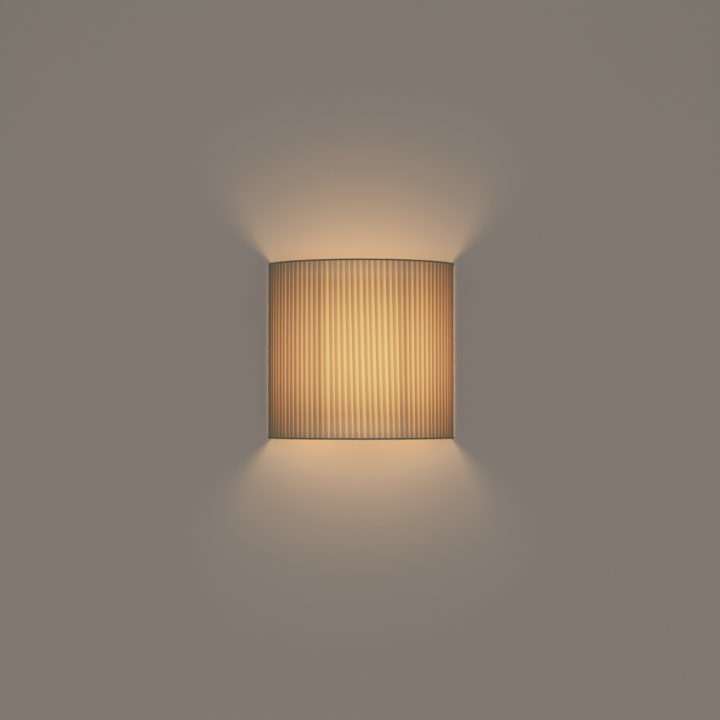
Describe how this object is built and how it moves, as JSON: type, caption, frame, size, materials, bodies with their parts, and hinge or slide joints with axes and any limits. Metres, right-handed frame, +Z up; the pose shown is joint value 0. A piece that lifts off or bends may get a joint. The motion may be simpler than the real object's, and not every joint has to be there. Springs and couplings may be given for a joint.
{
  "type": "wall light",
  "caption": "Wall light with a curved, vertically pleated fabric shade open at top and bottom, hung on a wall plate with one screw-in bulb.",
  "frame": {"origin": "on the wall plane, midway between the two wall-fixing slots, which is also the middle of the shade's height", "axes": "+X to the right seen from the room, +Z up, +Y into the wall; the light stands on the -Y side"},
  "size_m": [0.2608, 0.0979, 0.245],
  "materials": {
    "pleated_cloth": "matte",
    "hem_cloth": "matte",
    "binding_ribbon": "matte",
    "coated_wire": "satin",
    "bumper_rubber": "matte",
    "white_enamel": "satin",
    "grommet_rubber": "matte",
    "zinc_steel": "satin",
    "brass": "satin",
    "block_plastic": "matte",
    "cover_plastic": "satin",
    "earth_sleeve": "satin",
    "live_sleeve": "satin",
    "neutral_sleeve": "satin",
    "holder_plastic": "satin",
    "porcelain": "glazed",
    "opal_shell": "satin",
    "bulb_plastic": "satin",
    "bulb_metal": "satin",
    "black_glass": "glossy",
    "circuit_board": "matte"
  },
  "bodies": {
    "wall_unit": {"wall_plate": "white_enamel", "cable_grommet": "grommet_rubber", "hanger_hooks": "white_enamel", "hook_rivets": "zinc_steel", "terminal_block": "block_plastic", "terminal_inserts": "brass", "terminal_screws": "zinc_steel", "block_screws": "zinc_steel", "earth_tag": "zinc_steel", "earth_screw": "zinc_steel", "wire_earth": "earth_sleeve", "terminal_cover": "cover_plastic", "cover_screws": "zinc_steel", "lampholder_arm": "white_enamel", "arm_screws": "zinc_steel", "wire_live": "live_sleeve", "wire_neutral": "neutral_sleeve", "nipple": "brass", "lock_washer": "zinc_steel", "nipple_nut": "zinc_steel", "holder_cap": "holder_plastic", "holder_skirt": "holder_plastic", "holder_core": "porcelain", "holder_terminals": "brass", "holder_screws": "brass", "threaded_sleeve": "brass", "centre_contact": "brass"},
    "bulb_core": {"bulb_tip": "brass", "bulb_insulator": "black_glass"},
    "bulb": {"bulb_globe": "opal_shell", "bulb_collar": "bulb_plastic", "bulb_cap": "bulb_metal", "led_board": "circuit_board", "led_driver": "circuit_board"},
    "shade": {"shade_fabric": "pleated_cloth", "top_hem": "hem_cloth", "bottom_hem": "hem_cloth", "side_hems": "hem_cloth", "top_binding": "binding_ribbon", "bottom_binding": "binding_ribbon", "top_ring": "coated_wire", "bottom_ring": "coated_wire", "front_struts": "coated_wire", "rear_rods": "coated_wire", "hanger_bar": "coated_wire", "wall_bumpers": "bumper_rubber"}
  },
  "joints": [
    {"name": "shade_lift", "type": "slide", "parent": "wall_unit", "child": "shade", "axis": [0, 0, 1], "range_m": [0, 0.26]},
    {"name": "bulb_rise", "type": "slide", "parent": "wall_unit", "child": "bulb_core", "axis": [0, 0, 1], "range_m": [0, 0.0095]},
    {"name": "bulb_turn", "type": "hinge", "parent": "bulb_core", "child": "bulb", "pos_m": [0, -0.06, -0.02], "axis": [0, 0, 1], "range_deg": [0, 936]}
  ],
  "couplings": [
    {"joint": "bulb_rise", "follows": "bulb_turn", "m_per_rad": 0.00057757}
  ]
}
